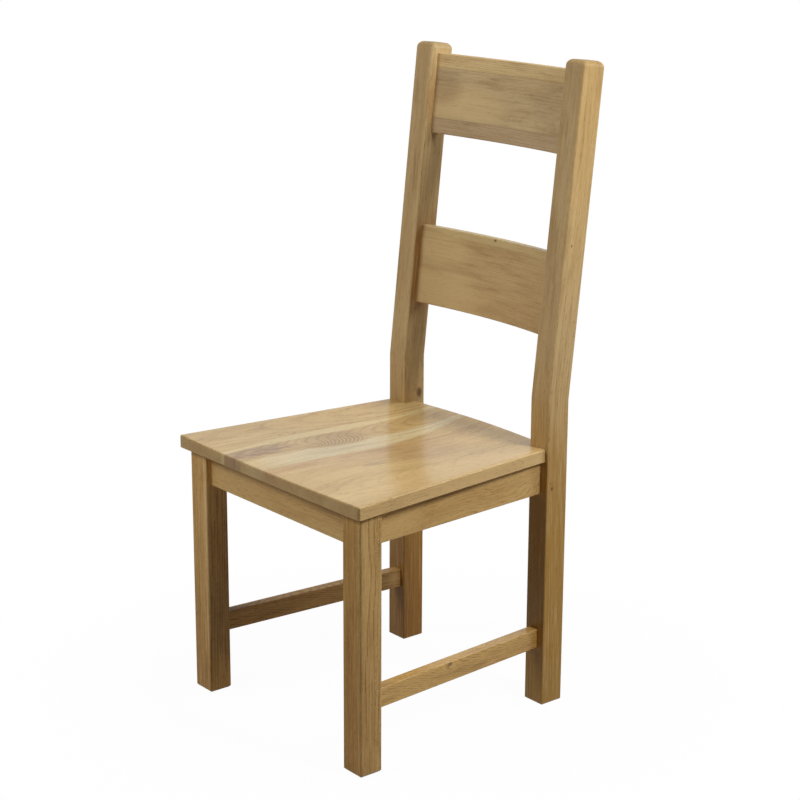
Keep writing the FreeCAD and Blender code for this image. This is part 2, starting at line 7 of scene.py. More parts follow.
import bmesh
import bpy
from bpy.props import FloatProperty, FloatVectorProperty, PointerProperty
from mathutils import Matrix, Vector


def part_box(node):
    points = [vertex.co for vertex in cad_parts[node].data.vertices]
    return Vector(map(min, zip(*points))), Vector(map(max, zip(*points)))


bl_info = {
    "name": "Ladder Back Chair",
    "version": (1, 0, 0),
    "blender": (4, 5, 0),
    "location": "View3D > Sidebar > Chair",
    "description": "Finishes the oak pieces of a chair and sets its stage and camera",
    "category": "Object",
}

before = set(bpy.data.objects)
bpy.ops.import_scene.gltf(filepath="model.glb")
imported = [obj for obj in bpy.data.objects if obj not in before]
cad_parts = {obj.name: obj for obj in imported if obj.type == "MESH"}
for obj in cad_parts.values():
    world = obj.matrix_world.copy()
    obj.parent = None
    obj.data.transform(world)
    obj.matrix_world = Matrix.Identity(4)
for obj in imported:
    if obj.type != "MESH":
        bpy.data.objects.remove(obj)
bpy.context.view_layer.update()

# Millimetres in a metre.
MILLIMETRES = 1000

# Sizes that the grain follows: lengths in millimetres, the rake in radians, the slope as a share.
LEG_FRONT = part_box("front_leg_right")[0].y * MILLIMETRES
POST_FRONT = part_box("back_post_right")[0].y * MILLIMETRES
POST_BEND = 531
POST_RAKE = math.radians(6.2)
SLAT_BOW = 19
SLAT_HALF_LENGTH = 162.5
SIDE_SLOPE = 0.067
LEFT_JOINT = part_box("seat_board_left")[1].x * MILLIMETRES
RIGHT_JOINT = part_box("seat_board_centre")[1].x * MILLIMETRES

# The two sides, and the places of the right faces of their legs and posts, in millimetres.
SIDES = {"left": -1, "right": 1}
LEG_RIGHT_FACE = {"left": -185, "right": 230}
POST_RIGHT_FACE = {"left": -162.5, "right": 205.5}

# Noise in the wood: its length along the grain and its width in millimetres, then its detail.
SWAY = (190, 70, 2.0)
FIBRE = (90, 2.6, 4.0)
PORES = (11, 1.5, 1.0)
CLOUD = (260, 42, 2.0)
MOTTLE = (80, 11, 3.0)
RAYS = (7, 2.5, 1.0)

# Shift of the noise along the grain from one seed to the next, in millimetres.
SEED_STEP = 37.7

# How much of the sway also goes into the piece.
SWAY_INTO = 0.6

# The number of rings over which their spacing varies, and by how many rings it does.
UNEVEN_RINGS = 4
UNEVEN_SHIFT = 2

# Values between which a smooth step goes from 0 to 1.
DARK_STEP = (0.5, 0.75)
PALE_STEP = (0.5, 0.25)
CLOUD_STEP = (0.3, 0.7)
PORE_STEP = (0.55, 0.7)
RAY_STEP = (0.55, 0.68)
RING_START = (0.0, 0.15)
RING_END = (0.55, 0.15)
RING_FIBRE_STEP = (0.3, 0.6)
END_STEP = (0.05, 0.45)
WORN_STEP = (0.995, 0.9)
WORN_FIBRE_STEP = (0.35, 0.65)

# Reach of a knot's core, and of the swirl round it, along, across and into a piece, in its radii.
KNOT_CORE = (1.5, 1, 1)
KNOT_SWIRL = (9, 4, 4)

# How far the swirl draws the grain to the knot, as a share.
KNOT_PULL = 0.85

# Strength of single tones in the wood; late wood shows its pores too, but fainter.
CLOUD_STRENGTH = 0.7
LATE_PORES = 0.7
KNOT_STRENGTH = 0.8
WORN_STRENGTH = 0.3

# Relief, roughness and gloss of the wood.
BUMP_STRENGTH = 0.4
FIBRE_RELIEF = 0.4
PORE_RELIEF = 0.6
RING_RELIEF = 0.3
WOOD_ROUGHNESS = 0.48
PORE_ROUGHNESS = 0.14
WORN_ROUGHNESS = 0.1
PORE_DULLING = 0.3
END_DULLING = 0.7
SPECULAR_SHARE = 0.5
BEVEL_SAMPLES = 4

# The curve between a colour as it is shown and linear light.
SRGB_KNEE = 0.04045
SRGB_SLOPE = 12.92
SRGB_OFFSET = 0.055
SRGB_POWER = 2.4

# Stage: the point that the lamps face and the camera's reach in metres, the shadow in millimetres.
CHAIR_MIDDLE = Vector((0.0, 0.0, 0.65))
CAMERA_REACH = 200
FLOOR_SEGMENTS = 96
SHADOW_RIM = 800.0
SHADOW_CORE = 300.0
WHITE = (1.0, 1.0, 1.0, 1.0)
SHADED_WHITE = (0.9, 0.9, 0.9, 1.0)

# Lamps: azimuth and elevation in degrees and distance in metres, then width and height in metres.
LAMPS = {
    "key": ((103, 34.5, 2.5), (0.4, 0.6)),
    "front": ((338, 30, 2.5), (1.6, 0.9)),
    "high": ((120, 70, 2.2), (1.0, 1.0)),
    "back": ((145, 27, 2.5), (0.8, 0.8)),
}


def shown(red, green, blue):
    """A colour as the eye sees it, 0 to 255, turned into linear light."""
    return tuple(linear(value / 255) for value in (red, green, blue))


def linear(part):
    """One part of a shown colour, 0 to 1, in linear light."""
    if part <= SRGB_KNEE:
        return part / SRGB_SLOPE
    return ((part + SRGB_OFFSET) / (1 + SRGB_OFFSET)) ** SRGB_POWER


def scaled(parts, factor):
    """Every part times a factor."""
    return tuple(part * factor for part in parts)


class Shade:
    """A shader socket that takes part in Python expressions."""

    def __init__(self, finish, socket):
        self.finish = finish
        self.socket = socket

    def maths(self, operation, *values):
        """A Math node over the given values or sockets."""
        return self.finish.node("ShaderNodeMath", {"operation": operation}, dict(enumerate(values)))

    def __add__(self, other):
        return self.maths("ADD", self, other)

    __radd__ = __add__

    def __sub__(self, other):
        return self.maths("SUBTRACT", self, other)

    def __rsub__(self, other):
        return self.maths("SUBTRACT", other, self)

    def __mul__(self, other):
        return self.maths("MULTIPLY", self, other)

    __rmul__ = __mul__

    def __truediv__(self, other):
        return self.maths("DIVIDE", self, other)

    def __rtruediv__(self, other):
        return self.maths("DIVIDE", other, self)

    def __abs__(self):
        return self.maths("ABSOLUTE", self)

    def root(self):
        """The square root."""
        return self.maths("SQRT", self)

    def fraction(self):
        """What is left over the whole number below."""
        return self.maths("FRACT", self)

    def most(self, other):
        """The larger of two values."""
        return self.maths("MAXIMUM", self, other)


class Finish:
    """A node tree that is filled by expressions."""

    def __init__(self, owner):
        owner.use_nodes = True
        self.tree = owner.node_tree
        self.tree.nodes.clear()

    def node(self, kind, settings=None, sockets=None, output=0):
        """Adds a node: its settings first, then the values or links of its sockets."""
        made = self.tree.nodes.new(kind)
        for name, value in (settings or {}).items():
            setattr(made, name, value)
        for key, value in (sockets or {}).items():
            if isinstance(value, Shade):
                self.tree.links.new(value.socket, made.inputs[key])
            else:
                made.inputs[key].default_value = value
        if isinstance(output, tuple):
            return tuple(Shade(self, made.outputs[key]) for key in output)
        return Shade(self, made.outputs[output]) if len(made.outputs) else made

    def place(self):
        """The three coordinates of a point of the chair, in millimetres."""
        point = self.node("ShaderNodeTexCoord", output="Object")
        parts = self.node("ShaderNodeSeparateXYZ", sockets={0: point}, output=("X", "Y", "Z"))
        return tuple(part * MILLIMETRES for part in parts)

    def noise(self, first, second, third, detail=2.0):
        """Soft noise from 0 to 1 over three coordinates."""
        point = self.node("ShaderNodeCombineXYZ", sockets={0: first, 1: second, 2: third})
        sockets = {"Vector": point, "Scale": 1.0, "Detail": detail}
        return self.node("ShaderNodeTexNoise", sockets=sockets)

    def texture(self, size, flow):
        """Soft noise of some length, width and detail that follows the flow of the grain."""
        length, width, detail = size
        along, across, deep = flow
        return self.noise(along / length, across / width, deep / width, detail)

    def step(self, value, low, high):
        """A smooth rise from 0 at low to 1 at high."""
        return self.node(
            "ShaderNodeMapRange",
            {"interpolation_type": "SMOOTHSTEP"},
            {"Value": value, "From Min": low, "From Max": high},
        )

    def spot(self, point, centre, reach):
        """1 at the centre of a span, ellipse or ellipsoid, falling to 0 at its rim."""
        parts = [(place - middle) / size for place, middle, size in zip(point, centre, reach)]
        return self.step(sum(part * part for part in parts), 1.0, 0.0)

    def facing(self, first, second):
        """How far two directions agree, from -1 to 1."""
        sockets = {0: first, 1: second}
        return self.node("ShaderNodeVectorMath", {"operation": "DOT_PRODUCT"}, sockets, "Value")

    def blend(self, base, top, factor, kind="MIX"):
        """One colour laid over another."""
        sockets = {0: factor, 6: opaque(base), 7: opaque(top)}
        return self.node("ShaderNodeMix", {"data_type": "RGBA", "blend_type": kind}, sockets, 2)


def opaque(colour):
    """A colour socket as it is, or three numbers with full alpha."""
    return colour if isinstance(colour, Shade) else (*colour, 1.0)


class ChairOak(bpy.types.PropertyGroup):
    """Colours and surface of the oak."""

    pale: FloatVectorProperty(
        name="Pale wood",
        description="The palest heartwood",
        subtype="COLOR",
        default=shown(208, 177, 117),
    )
    plain: FloatVectorProperty(
        name="Plain wood",
        description="The common tone",
        subtype="COLOR",
        default=shown(190, 156, 97),
    )
    dark: FloatVectorProperty(
        name="Dark wood",
        description="The early wood of each ring",
        subtype="COLOR",
        default=shown(150, 114, 63),
    )
    pore: FloatVectorProperty(
        name="Pores",
        description="The open pores",
        subtype="COLOR",
        default=shown(112, 79, 41),
    )
    sapwood: FloatVectorProperty(
        name="Sapwood",
        description="The pale outer wood",
        subtype="COLOR",
        default=shown(217, 193, 138),
    )
    knot: FloatVectorProperty(
        name="Knots",
        description="The heart of a knot",
        subtype="COLOR",
        default=shown(80, 46, 26),
    )
    end_grain: FloatVectorProperty(
        name="End grain",
        description="Darkening where the grain is cut",
        subtype="COLOR",
        default=(0.68, 0.65, 0.6),
    )
    lacquer: FloatProperty(
        name="Lacquer",
        description="Strength of the lacquer's gloss",
        subtype="FACTOR",
        min=0,
        max=1,
        default=0.2,
    )
    seat_lacquer: FloatProperty(
        name="Seat lacquer",
        description="Strength of the gloss on the seat",
        subtype="FACTOR",
        min=0,
        max=1,
        default=0.5,
    )
    lacquer_roughness: FloatProperty(
        name="Lacquer roughness",
        description="How soft the gloss is",
        subtype="FACTOR",
        min=0,
        max=1,
        default=0.2,
    )
    pore_depth: FloatProperty(
        name="Pore depth",
        description="Depth of the open grain",
        unit="LENGTH",
        default=0.0003,
        precision=5,
    )
    worn_edge: FloatProperty(
        name="Worn edge",
        description="Width of the rubbed edges",
        unit="LENGTH",
        default=0.002,
        precision=4,
    )


class ChairStage(bpy.types.PropertyGroup):
    """Floor and light."""

    floor_radius: FloatProperty(
        name="Floor radius", description="Size of the floor", unit="LENGTH", default=40
    )
    floor_colour: FloatVectorProperty(
        name="Floor",
        description="Colour that the floor throws back",
        subtype="COLOR",
        default=(0.28, 0.23, 0.17),
    )
    shadow: FloatProperty(
        name="Shadow",
        description="Strength of the chair's shadow on the floor",
        subtype="FACTOR",
        min=0,
        max=1,
        default=0.03,
    )
    ambient: FloatProperty(
        name="Ambient", description="Strength of the light from all round", default=0.05
    )
    key_power: FloatProperty(
        name="Key lamp", description="Lamp on the right", unit="POWER", default=34
    )
    front_power: FloatProperty(
        name="Front lamp", description="Lamp in front, left", unit="POWER", default=36
    )
    high_power: FloatProperty(
        name="High lamp", description="Lamp above, right", unit="POWER", default=9
    )
    back_power: FloatProperty(
        name="Back lamp", description="Lamp behind, right", unit="POWER", default=15
    )


class ChairCamera(bpy.types.PropertyGroup):
    """Where the camera stands."""

    place: FloatVectorProperty(
        name="Place",
        description="Place of the camera",
        subtype="TRANSLATION",
        unit="LENGTH",
        default=(2.4353, -1.9734, 1.3980),
    )
    azimuth: FloatProperty(
        name="Azimuth",
        description="Angle round the chair from its front",
        subtype="ANGLE",
        default=math.radians(50.764),
    )
    elevation: FloatProperty(
        name="Elevation",
        description="Angle above the horizon",
        subtype="ANGLE",
        default=math.radians(15.683),
    )
    roll: FloatProperty(
        name="Roll",
        description="Turn about the line of sight",
        subtype="ANGLE",
        default=math.radians(0.228),
    )
    lens: FloatProperty(name="Lens", description="Focal length in millimetres", default=88.96)


# Lays of the grain: each gives the places along, across and into a piece.


def upright(x, y, z):
    """Legs: the grain runs up."""
    return z, x, y


def raked(x, y, z):
    """Posts: the grain follows the bend above the seat."""
    return z, x, y - (z - POST_BEND).most(0) * math.tan(POST_RAKE)


def lengthwise(x, y, z):
    """Seat boards: the grain runs from front to back."""
    return y, x, z


def crosswise(x, y, z):
    """Front and back rails and corner blocks: the grain runs from side to side."""
    return x, z, y


def left_side(x, y, z):
    """Left rail and stretcher, which close in towards the back."""
    return y, z, x - y * SIDE_SLOPE


def right_side(x, y, z):
    """Right rail and stretcher, which close in towards the back."""
    return y, z, x + y * SIDE_SLOPE


def slatwise(x, y, z):
    """Slats: the grain runs from post to post and follows the bow."""
    up = (z - POST_BEND) * math.cos(POST_RAKE) + (y - POST_FRONT) * math.sin(POST_RAKE)
    back = (y - POST_FRONT) * math.cos(POST_RAKE) - (z - POST_BEND) * math.sin(POST_RAKE)
    reach = x / SLAT_HALF_LENGTH
    return x, up, back - SLAT_BOW * (1 - reach * reach)


# The direction in which the end grain of each lay faces.
END_FACES = {
    upright: (0, 0, 1),
    raked: (0, 0, 1),
    lengthwise: (0, 1, 0),
    crosswise: (1, 0, 0),
    left_side: (0, 1, 0),
    right_side: (0, 1, 0),
    slatwise: (1, 0, 0),
}


@dataclass
class Cut:
    """How a piece was cut from its log, in millimetres, and what its wood shows.

    The heart is the log's centre across and into the piece, and drift is how far it
    moves for each millimetre along. Ring is the rings' spacing and sway is how far the
    grain wanders. Ring_depth, fibre, pores, fleck, mottle and end_grain are strengths.
    A lacquer of None takes the common one. Each knot has a centre along, across and
    into the piece, and a radius. Each mark lays a colour over the grain.
    """

    lay: Callable
    seed: int
    heart: tuple
    drift: tuple = (0.0, 0.0)
    ring: float = 3.0
    ring_depth: float = 0.5
    sway: float = 6.0
    fibre: float = 0.3
    pores: float = 0.27
    fleck: float = 0.0
    mottle: float = 0.35
    tint: tuple = (1.0, 1.0, 1.0)
    lacquer: float | None = None
    end_grain: float = 1.0
    knots: tuple = ()
    marks: tuple = ()


@dataclass
class Grain:
    """Places along, across and into a piece, with its fibres."""

    along: Shade
    across: Shade
    deep: Shade
    fibre: Shade

    def behind(self):
        """How far behind the front of the legs a place of the seat is."""
        return self.along - LEG_FRONT

    def ragged(self, width):
        """A shift to both sides, over some width in all, that frays an edge as the fibres do."""
        return (self.fibre - 0.5) * width


def follow_grain(finish, cut, place):
    """Places along, across and into the wood itself, which bends round knots and sways."""
    along, across, deep = place
    for centre, reach in cut.knots:
        near = finish.spot(place, centre, scaled(KNOT_SWIRL, reach)) * KNOT_PULL
        across = across + (centre[1] - across) * near
        deep = deep + (centre[2] - deep) * near
    start = along + cut.seed * SEED_STEP
    sway = (finish.texture(SWAY, (start, across, deep)) - 0.5) * cut.sway
    return start, across + sway, deep + sway * SWAY_INTO


def early_wood(finish, cut, along, flow):
    """1 in the early wood of each ring, 0 in the rest."""
    side = flow[1] - cut.heart[0] - along * cut.drift[0]
    depth = flow[2] - cut.heart[1] - along * cut.drift[1]
    radius = (side * side + depth * depth).root()
    uneven = finish.noise(radius / (cut.ring * UNEVEN_RINGS), cut.seed, 0.0)
    phase = (radius / cut.ring + uneven * UNEVEN_SHIFT).fraction()
    return finish.step(phase, *RING_START) * finish.step(phase, *RING_END)


def streaked(finish, look, colour, noise, strength):
    """Darker wood where the noise is high and paler wood where it is low."""
    colour = finish.blend(colour, look.dark, finish.step(noise, *DARK_STEP) * strength)
    return finish.blend(colour, look.pale, finish.step(noise, *PALE_STEP) * strength)


def bare_wood(finish, look, cut, flow, early, fibre):
    """The wood before its marks: clouds, mottle, rings, fibres, rays and the piece's tint."""
    cloud = finish.step(finish.texture(CLOUD, flow), *CLOUD_STEP)
    colour = finish.blend(look.plain, look.pale, cloud * CLOUD_STRENGTH)
    colour = streaked(finish, look, colour, finish.texture(MOTTLE, flow), cut.mottle)
    ring = early * finish.step(fibre, *RING_FIBRE_STEP) * cut.ring_depth
    colour = finish.blend(colour, look.dark, ring)
    colour = streaked(finish, look, colour, fibre, cut.fibre)
    if cut.fleck:
        ray = finish.step(finish.texture(RAYS, flow), *RAY_STEP)
        colour = finish.blend(colour, look.pale, ray * cut.fleck)
    return finish.blend(colour, cut.tint, 1.0, "MULTIPLY")


def oak(name, cut):
    """Lacquered oak with rings, fibres, pores, rays, knots and rubbed edges."""
    look = bpy.context.scene.chair_oak
    material = bpy.data.materials.new(name)
    finish = Finish(material)
    place = cut.lay(*finish.place())
    flow = follow_grain(finish, cut, place)
    early = early_wood(finish, cut, place[0], flow)
    fibre = finish.texture(FIBRE, flow)
    pores = finish.step(finish.texture(PORES, flow), *PORE_STEP)
    colour = bare_wood(finish, look, cut, flow, early, fibre)
    for mark in cut.marks:
        colour = mark(finish, look, colour, Grain(*place, fibre))
    colour = finish.blend(colour, look.pore, pores * (early + LATE_PORES) * cut.pores)
    for centre, reach in cut.knots:
        core = finish.spot(place, centre, scaled(KNOT_CORE, reach))
        colour = finish.blend(colour, look.knot, core * KNOT_STRENGTH)
    face = finish.node("ShaderNodeTexCoord", output="Normal")
    ends = finish.step(abs(finish.facing(face, END_FACES[cut.lay])), *END_STEP)
    colour = finish.blend(colour, look.end_grain, ends * cut.end_grain, "MULTIPLY")
    normal = finish.node("ShaderNodeNewGeometry", output="Normal")
    rounded = finish.node("ShaderNodeBevel", {"samples": BEVEL_SAMPLES}, {"Radius": look.worn_edge})
    edge = finish.step(finish.facing(normal, rounded), *WORN_STEP)
    worn = edge * finish.step(fibre, *WORN_FIBRE_STEP)
    colour = finish.blend(colour, look.sapwood, worn * WORN_STRENGTH)
    height = fibre * FIBRE_RELIEF - pores * PORE_RELIEF - early * RING_RELIEF
    relief = {"Strength": BUMP_STRENGTH, "Distance": look.pore_depth, "Height": height}
    gloss = look.lacquer if cut.lacquer is None else cut.lacquer
    coat = (1 - pores * PORE_DULLING) * (1 - ends * END_DULLING) * gloss if gloss else 0.0
    surface = finish.node(
        "ShaderNodeBsdfPrincipled",
        sockets={
            "Base Color": colour,
            "Roughness": WOOD_ROUGHNESS + pores * PORE_ROUGHNESS + worn * WORN_ROUGHNESS,
            "Specular IOR Level": gloss * SPECULAR_SHARE,
            "Coat Weight": coat,
            "Coat Roughness": look.lacquer_roughness,
            "Normal": finish.node("ShaderNodeBump", sockets=relief),
        },
    )
    finish.node("ShaderNodeOutputMaterial", sockets={"Surface": surface})
    return material


def dress(node, material):
    """Puts a finish on a piece of the chair."""
    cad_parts[node].material_slots[0].material = material


def dress_in_oak(node, cut):
    """Puts oak, cut in its own way, on a piece of the chair."""
    dress(node, oak("oak_" + node, cut))


# Tones of single marks of the wood, of painted light and shade on some pieces, and of the screws.
LIGHT_TONE = shown(214, 180, 120)
BROWN_TONE = shown(138, 91, 41)
GOLD_TONE = shown(163, 118, 26)
PAINTED_LIGHT_TONE = shown(225, 195, 140)
PAINTED_SHADE_TONE = shown(150, 120, 84)
HEART_TONE = shown(132, 98, 76)
STREAK_TONE = shown(224, 207, 164)
LINE_TONE = shown(168, 138, 96)
WARM_TONE = shown(172, 128, 82)
REAR_SHADE_TONE = shown(158, 132, 96)
RAY_TONE = shown(216, 182, 118)
STEEL_TONE = shown(176, 174, 168)
SCUFF_TONE = shown(206, 203, 196)

# Heights of the top slat's glue lines, measured up the rake from the posts' bend, in millimetres.
UPPER_GLUE_LINE = 507
LOWER_GLUE_LINE = 422

# Widths in millimetres: how far an edge frays on the seat, and how deep the painted light goes into
# a face.
SEAT_FRAYING = 14
PAINTED_LIGHT_DEPTH = 14

# Marks of single pieces: each lays a colour over the grain, at places in millimetres; some are
# painted light or shade.


def sapwood_edge(finish, look, colour, grain):
    """A pale strip of sapwood along the left board's inner edge, with one small burr in it."""
    narrowest, swell, widest_at = 9, 13, -60
    width = finish.step(abs(grain.along - widest_at), 180.0, 50.0) * swell + narrowest
    inside = grain.across - LEFT_JOINT + width + grain.ragged(SEAT_FRAYING)
    colour = finish.blend(colour, look.sapwood, finish.step(inside, -3.0, 3.0) * 0.85)
    burr = finish.spot((grain.across, grain.along), (-143, -112), (9, 20))
    rim = finish.step(burr, 0.05, 0.3) * finish.step(burr, 0.8, 0.4)
    return finish.blend(colour, look.dark, rim * 0.5)


def dark_heart(finish, look, colour, grain):
    """A patchy dark heart in the front of the seat's centre board."""
    behind = grain.behind()
    blotches = finish.step(finish.noise(behind / 34, grain.across / 10, 0.0, 3.0), 0.2, 0.6)
    heart = finish.spot((grain.across, behind), (-88, 35), (36, 95))
    return finish.blend(colour, HEART_TONE, heart * blotches * 0.85)


def nested_arches(finish, look, colour, grain):
    """Nested dark arches behind the heart, wider apart towards the back."""
    middle, curve, first, closeness = -80, 0.0206, 68, 2.9
    behind = grain.behind()
    offset = grain.across - middle
    reach = behind + offset * offset * curve
    ripple = finish.noise(behind / 40, grain.across / 20, 0.0) * 0.6
    wave = ((reach - first).most(0).root() * closeness + ripple).fraction()
    arch = finish.step(wave, 0.0, 0.35) * finish.step(wave, 0.9, 0.45)
    extent = finish.step(reach, 95.0, 190.0) * finish.step(reach, 262.0, 222.0)
    return finish.blend(colour, look.pore, arch * extent * 0.6)


def pale_streak(finish, look, colour, grain):
    """A pale streak along the right of the seat's centre board, narrower towards the back."""
    behind = grain.behind()
    lean = finish.spot((behind,), (185,), (70,)) * 11
    narrowing = (behind - 240).most(0) * 0.2
    fraying = grain.ragged(SEAT_FRAYING)
    left_edge = finish.step(grain.across - lean + fraying, -60.0, -50.0)
    right_edge = finish.step(grain.across + narrowing + fraying, 4.0, -6.0)
    streak = left_edge * right_edge * finish.step(behind, -60.0, 70.0)
    return finish.blend(colour, STREAK_TONE, streak * 0.68)


def long_lines(finish, look, colour, grain):
    """Long fine lines over the seat's centre board."""
    lines = finish.noise(grain.along / 150, grain.across / 4.5, 7.0, 1.0)
    return finish.blend(colour, LINE_TONE, finish.step(lines, 0.52, 0.68) * 0.55)


def warm_right(finish, look, colour, grain):
    """Warmer wood by the joint, a brown cloud with dark strokes, and one short shake."""
    spread = (grain.across, grain.behind())
    joint = finish.step(grain.across - grain.fibre * 30, RIGHT_JOINT + 44, RIGHT_JOINT - 10)
    cloud = finish.spot(spread, (52, 260), (70, 110))
    warm = joint.most(cloud) * finish.step(grain.fibre, 0.25, 0.6)
    colour = finish.blend(colour, WARM_TONE, warm * 0.6)
    strokes = finish.spot(spread, (66, 160), (24, 42)) * finish.step(grain.fibre, 0.5, 0.62)
    colour = finish.blend(colour, look.pore, strokes * 0.6)
    shake = finish.spot(spread, (159, 145), (1.6, 8.0))
    return finish.blend(colour, look.knot, shake * 0.8)


def painted_rear_shade(finish, look, colour, grain):
    """Painted shade: a seat board that greys towards the backrest, where the back posts shade it."""
    rear = finish.step(grain.behind() + grain.fibre * 30, 400.0, 450.0)
    return finish.blend(colour, REAR_SHADE_TONE, rear * 0.2)


def sapwood_head_and_painted_light(finish, look, colour, grain):
    """Sapwood along the middle slat's top, fading to the right, and painted light on its lower left.
    """
    edge = 224 + (-90 - grain.along).most(0) * 0.16 + grain.ragged(4)
    head = finish.step(grain.across - edge, -2.0, 2.0) * finish.step(grain.along, 190.0, 20.0)
    colour = finish.blend(colour, look.sapwood, head * 0.6)
    # Painted light on the lower left of the bowed slat.
    line = 163 + grain.ragged(6)
    corner = finish.step(grain.along, 30.0, -90.0) * finish.step(grain.across - line, 4.0, -4.0)
    return finish.blend(colour, PAINTED_LIGHT_TONE, corner * 0.6)


def ray_border(finish, look, colour, grain):
    """Flecks of ray on the rear of the right leg's outer face, over a dark crackle at the top."""
    jag = finish.noise(grain.along / 9, grain.across / 40, 0.0, 3.0) * 14
    rear = finish.step(grain.deep - jag, -229.0, -224.0) * finish.step(grain.across, 226.0, 229.0)
    veins = finish.noise(grain.along / 5, grain.deep / 4, 3.0, 2.0)
    crackle = finish.step(abs(veins - 0.5), 0.06, 0.0) * finish.step(grain.along, 300.0, 400.0)
    colour = finish.blend(colour, look.pore, crackle * rear * 0.7)
    flecks = finish.step(finish.noise(grain.along / 5, grain.deep / 2.2, 0.0, 2.0), 0.5, 0.62)
    return finish.blend(colour, RAY_TONE, rear * flecks * 0.45)


def patch(place, reach, tone, strength):
    """A soft patch of another tone, along and across a piece, streaked by the fibres."""

    def mark(finish, look, colour, grain):
        spot = finish.spot((grain.along, grain.across), place, reach)
        return finish.blend(colour, tone, spot * finish.step(grain.fibre, 0.2, 0.55) * strength)

    return mark


def glued_at(*lines):
    """Thin dark glue lines along a stave."""

    def mark(finish, look, colour, grain):
        for line in lines:
            glue = finish.step(abs(grain.across - line), 1.6, 0.2)
            colour = finish.blend(colour, look.pore, glue * 0.3)
        return colour

    return mark


def painted_light_from(face, low, high, gain):
    """Painted light on the right face of an upright piece, from a low height to a high one."""

    def mark(finish, look, colour, grain):
        at_face = finish.step(grain.across - face, -PAINTED_LIGHT_DEPTH, 0.0)
        return finish.blend(colour, gain, at_face * finish.step(grain.along, low, high), "MULTIPLY")

    return mark


class CHAIR_OT_front_legs(bpy.types.Operator):
    """Finishes the two front legs"""

    bl_idname = "chair.front_legs"
    bl_label = "Front legs"

    def execute(self, context):
        foot = patch((0, 0), (330, 900), BROWN_TONE, 0.3)
        # Painted light on the right faces of both legs.
        left_face = painted_light_from(LEG_RIGHT_FACE["left"], 40.0, 110.0, (1.25, 1.38, 1.75))
        right_face = painted_light_from(LEG_RIGHT_FACE["right"], -1.0, 0.0, (1.18, 1.31, 1.7))
        marks = {"left": (foot, left_face), "right": (foot, right_face, ray_border)}
        tints = {"left": (1.02, 0.93, 0.85), "right": (0.86, 0.75, 0.6)}
        for side, sign in SIDES.items():
            cut = Cut(
                lay=upright,
                seed=3 + sign,
                heart=(sign * 150, -262),
                drift=(0.0, 0.02),
                ring=3.4,
                ring_depth=0.8,
                fibre=0.6,
                pores=0.25,
                fleck=0.35,
                mottle=0.5,
                tint=tints[side],
                lacquer=0.12,
                marks=marks[side],
            )
            dress_in_oak(f"front_leg_{side}", cut)
        return {"FINISHED"}


class CHAIR_OT_back_posts(bpy.types.Operator):
    """Finishes the two back posts"""

    bl_idname = "chair.back_posts"
    bl_label = "Back posts"

    def execute(self, context):
        left_face, right_face = POST_RIGHT_FACE["left"], POST_RIGHT_FACE["right"]
        knots = {
            "left": (((463, left_face, 192), 8),),
            "right": (((783, right_face, 172.6), 2), ((382, right_face, 170), 3)),
        }
        darker = {
            "left": (
                patch((0, 0), (560, 900), GOLD_TONE, 0.8),
                patch((0, 0), (300, 900), BROWN_TONE, 0.65),
                # Painted shade on the left post's inner face, in front of the middle slat and beside
                # the top slat.
                patch((700, -158), (130, 10), BROWN_TONE, 0.8),
                patch((985, -158), (60, 10), BROWN_TONE, 0.5),
            ),
            "right": (patch((150, 0), (480, 900), GOLD_TONE, 0.75),),
        }
        # Painted light on the upper right faces of the posts.
        painted_light_faces = {
            "left": painted_light_from(left_face, 600.0, 950.0, (1.2, 1.26, 1.35)),
            "right": painted_light_from(right_face, 600.0, 950.0, (1.09, 1.07, 0.97)),
        }
        tints = {"left": (0.9, 0.92, 1.08), "right": (0.95, 0.98, 1.2)}
        for side, sign in SIDES.items():
            cut = Cut(
                lay=raked,
                seed=8 + sign,
                heart=(sign * 60, 110),
                drift=(0.0, 0.015),
                ring=2.8,
                ring_depth=0.25,
                fibre=0.35,
                pores=0.22,
                mottle=0.45,
                tint=tints[side],
                end_grain=0.3,
                knots=knots[side],
                marks=(*darker[side], painted_light_faces[side]),
            )
            dress_in_oak(f"back_post_{side}", cut)
        return {"FINISHED"}


class CHAIR_OT_rails(bpy.types.Operator):
    """Finishes the four rails under the seat"""

    bl_idname = "chair.rails"
    bl_label = "Rails"

    def execute(self, context):
        cuts = {
            "front_rail": Cut(
                lay=crosswise,
                seed=12,
                heart=(250, -200),
                drift=(0.0, 0.03),
                marks=(
                    patch((-110, 395), (110, 60), LIGHT_TONE, 0.4),
                    # Painted shadow of the seat's front edge on the top of the rail's right half.
                    patch((140, 415), (90, 30), BROWN_TONE, 0.3),
                ),
            ),
            "back_rail": Cut(lay=crosswise, seed=13, heart=(250, 140), drift=(0.0, 0.03)),
            "side_rail_left": Cut(lay=left_side, seed=14, heart=(300, -260), drift=(0.02, 0.03)),
            "side_rail_right": Cut(
                lay=right_side,
                seed=15,
                heart=(330, 130),
                drift=(0.15, 0.05),
                sway=50.0,
                marks=(
                    patch((-180, 400), (90, 60), LIGHT_TONE, 0.7),
                    patch((60, 425), (90, 18), LIGHT_TONE, 0.6),
                ),
            ),
        }
        for node, cut in cuts.items():
            cut.tint = (1.06, 1.02, 1.02)
            cut.ring_depth = 0.35
            cut.fibre = 0.25
            cut.lacquer = 0.15
            dress_in_oak(node, cut)
        return {"FINISHED"}


